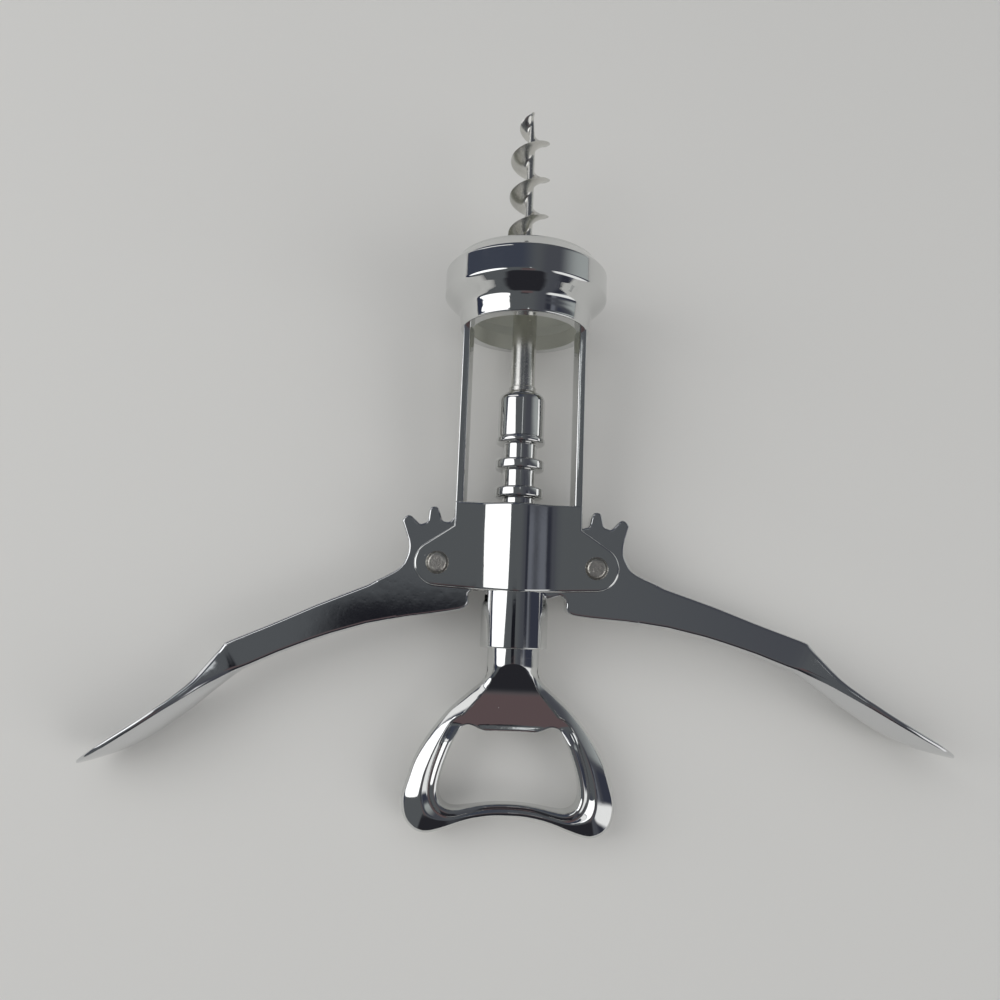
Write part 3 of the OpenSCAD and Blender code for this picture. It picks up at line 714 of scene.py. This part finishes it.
def handle_section(pair):
    """Points from the opening to the outline and back, closest together at the valley's edge."""
    ex, ey, ox, oy = pair

    def place(q):
        return ex + (ox - ex) * q, ey + (oy - ey) * q

    free = oy < SHAFT_END
    edge = next((k / 240 for k in range(20, 240) if valley(place(k / 240)) >= 0), 0.9)
    front = []
    for q in [edge * f for f in NEAR] + [edge + (1 - edge) * f for f in FAR]:
        front.append((*place(q), face_height(place(q), q == 1 and free, q == 0)))
    front[-1] = (ox, oy, 0 if free else math.sqrt(max(SHAFT_R ** 2 - ox * ox, 0)))
    front = [in_bore(*p) for p in front]
    return front + [(x, y, -z) for x, y, z in reversed(front)]


right = [handle_section(p) for p in curve(PAIRS, 4)]
left = [[(-x, y, z) for x, y, z in ring] for ring in reversed(right[1:-1])]
handle = loft("handle_body", right + left, looped=True)

# %% Shaft, joined to the loop
SHAFT = [(0, -10.2), (5.45, -10.2), (SHAFT_R, -10.5), (SHAFT_R, -20.0), (5.6, -20.1), (0, -20.1)]
lathe("shaft", SHAFT, 96)
handle.select_set(True)
bpy.context.view_layer.objects.active = handle
bpy.ops.object.join()
finish_piece(handle, "screw", CAST_CHROME, ["opener_handle"], smooth=50)

# %% [markdown]
# ## Small parts kept from the CAD model
# The two staked pivot pins, the stop collar and the cross pin have the right shape already, so they
# only get their finish.

# %% Finish the kept nodes
for name, material in (("left_pivot_pin", PIN_STEEL), ("right_pivot_pin", PIN_STEEL),
                       ("stop_collar", WORM_STEEL), ("cross_pin", PIN_STEEL)):
    node = frame["nodes"][name]
    node.data.materials.clear()
    node.data.materials.append(material)

# %% [markdown]
# ## Table, room and lights
# Polished metal needs a room to reflect, and this one is guessed from the photo's reflections: dim
# overhead, with a tall bright area to the left and a smaller one to the lower right. The table is a
# plain pale disc. The left window is a lamp that mirrors show, and the rest of the room is painted
# on the world by direction: EAST and NORTH are the parts of the direction that a ray takes. Two
# lamps that mirrors don't show light the matt surfaces: glow_right stands for the painted area at
# the lower right, and fill_overhead keeps the shadows soft, as they are in the photo.

# %% Table
bpy.ops.object.select_all(action="DESELECT")
bpy.ops.mesh.primitive_circle_add(vertices=96, radius=3, fill_type="NGON", location=(0, 0, -0.0002))
floor = named("table")
laminate, _, shader, _ = new_material("matt pale laminate")
shader.inputs["Base Color"].default_value = linear("#e0dfdb")
shader.inputs["Roughness"].default_value = 0.85
shader.inputs["Specular IOR Level"].default_value = 0.2
floor.data.materials.append(laminate)

# %% Room
world = bpy.data.worlds.new("room")
bpy.context.scene.world = world
world.use_nodes = True
tree = world.node_tree
back = tree.nodes["Background"]
way = add(tree, "ShaderNodeTexCoord")
parts = add(tree, "ShaderNodeSeparateXYZ", [(0, way, "Generated")])
EAST, NORTH = 0, 1


def between(part, *edges):
    """1 between the inner two of four values of a part of the direction, 0 outside the outer two."""
    sides = []
    for low, high in (edges[:2], edges[:1:-1]):
        ramp = add(tree, "ShaderNodeMapRange", [("Value", parts, part)],
                   interpolation_type="SMOOTHSTEP")
        ramp.inputs["From Min"].default_value = low
        ramp.inputs["From Max"].default_value = high
        sides.append(ramp)
    return add(tree, "ShaderNodeMath", [(0, sides[0], 0), (1, sides[1], 0)], operation="MULTIPLY")


def patch(under, colour, *masks):
    """Paints a colour over what is under it, where all the masks meet."""
    while len(masks) > 1:
        both = add(tree, "ShaderNodeMath", [(0, masks[0], 0), (1, masks[1], 0)], operation="MULTIPLY")
        masks = (both,) + masks[2:]
    mix = add(tree, "ShaderNodeMix", [("Factor", masks[0], 0), ("A", under, 2)], data_type="RGBA")
    mix.inputs["B"].default_value = linear(colour)
    return mix


room = add(tree, "ShaderNodeMix", data_type="RGBA", Factor=0)  # the dim ceiling
room.inputs["A"].default_value = linear("#5c5f62")
SOUTH = between(NORTH, -3, -2, 0.03, 0.1)
room = patch(room, "#4f5158", between(EAST, 0.1, 0.45, 2, 3))
room = patch(room, "#33353f", between(EAST, 0.46, 0.58, 0.62, 0.68), SOUTH)
room = patch(room, "#6d7079", between(EAST, 0.64, 0.69, 0.73, 0.78), SOUTH)
room = patch(room, "#3a3d4a", between(EAST, 0.76, 0.84, 2, 3), SOUTH)
room = patch(room, "#a9aeae", between(EAST, 0.62, 0.95, 2, 3), between(NORTH, 0.1, 0.2, 2, 3))
room = patch(room, "#33384a", between(EAST, -3, -2, -0.97, -0.92))
room = patch(room, "#434855", between(NORTH, 0.16, 0.3, 2, 3), between(EAST, -3, -2, -0.2, 0.3))
room = patch(room, "#b4b8c2", between(NORTH, 0.2, 0.23, 0.27, 0.3),
             between(EAST, -0.84, -0.7, -0.6, -0.46))
room = patch(room, "#ffffff", between(NORTH, 0.38, 0.42, 0.6, 0.64),
             between(EAST, -0.85, -0.8, -0.36, -0.3))
room = patch(room, "#e6eaec", between(NORTH, 0.06, 0.08, 0.2, 0.22),
             between(EAST, 0.03, 0.04, 0.07, 0.08))
room = patch(room, "#2b2b30", between(NORTH, -3, -2, -0.85, -0.5),
             between(EAST, -0.4, -0.3, 0.25, 0.35))
room = patch(room, "#645557", between(NORTH, -0.8, -0.5, -0.17, -0.14),
             between(EAST, -0.2, -0.1, 0.1, 0.2))
room = patch(room, "#1b1c22", between(NORTH, -0.18, -0.15, -0.097, -0.07),
             between(EAST, -0.21, -0.155, 0.02, 0.06))
room = patch(room, "#ffffff", between(NORTH, -0.75, -0.6, -0.22, -0.1), between(EAST, 0.48, 0.6, 2, 3))
ray = add(tree, "ShaderNodeLightPath")
seen = add(tree, "ShaderNodeMix", [("Factor", ray, "Is Camera Ray"), ("A", room, 2)], data_type="RGBA")
seen.inputs["B"].default_value = linear("#bdbcb8")
tree.links.new(seen.outputs[2], back.inputs["Color"])
back.inputs["Strength"].default_value = 1


# %% Lamps
def window(name, towards, size, reach, glow, shape="RECTANGLE"):
    """A flat lamp at a distance in a direction, facing the tool; glow is its radiance."""
    aim = Vector(towards).normalized()
    bpy.ops.object.select_all(action="DESELECT")
    bpy.ops.object.light_add(type="AREA", location=aim * reach)
    lamp = named(name)
    lamp.data.shape = shape
    lamp.data.size, lamp.data.size_y = size
    area = size[0] * size[1] * (math.pi / 4 if shape == "ELLIPSE" else 1)
    lamp.data.energy = glow * math.pi * area
    lamp.rotation_euler = aim.to_track_quat("Z", "Y").to_euler()
    return lamp


window("window_left", (-0.82, 0.02, 0.575), (0.40, 0.74), 0.7, 1.5, "ELLIPSE")
for lamp in (window("glow_right", (0.72, -0.42, 0.55), (0.6, 0.6), 1.0, 1.3),
             window("fill_overhead", (-0.1, 0.1, 1), (4, 4), 1.2, 0.5, "ELLIPSE")):
    lamp.visible_glossy = False

# %% [markdown]
# ## Camera
# The lens and place were found by fitting the bell's rings, the pivots and the worm to the photo.

# %% Camera
bpy.ops.object.select_all(action="DESELECT")
bpy.ops.object.camera_add(location=(-0.00859, -0.060456, 0.201397),
                          rotation=[math.radians(a) for a in (14.5821, -1.2294, 2.0971)])
camera = bpy.context.object
camera.data.sensor_width = 36
camera.data.lens = 30.6
camera.data.clip_start = 0.01
bpy.context.scene.camera = camera
bpy.context.scene.view_settings.view_transform = "Standard"
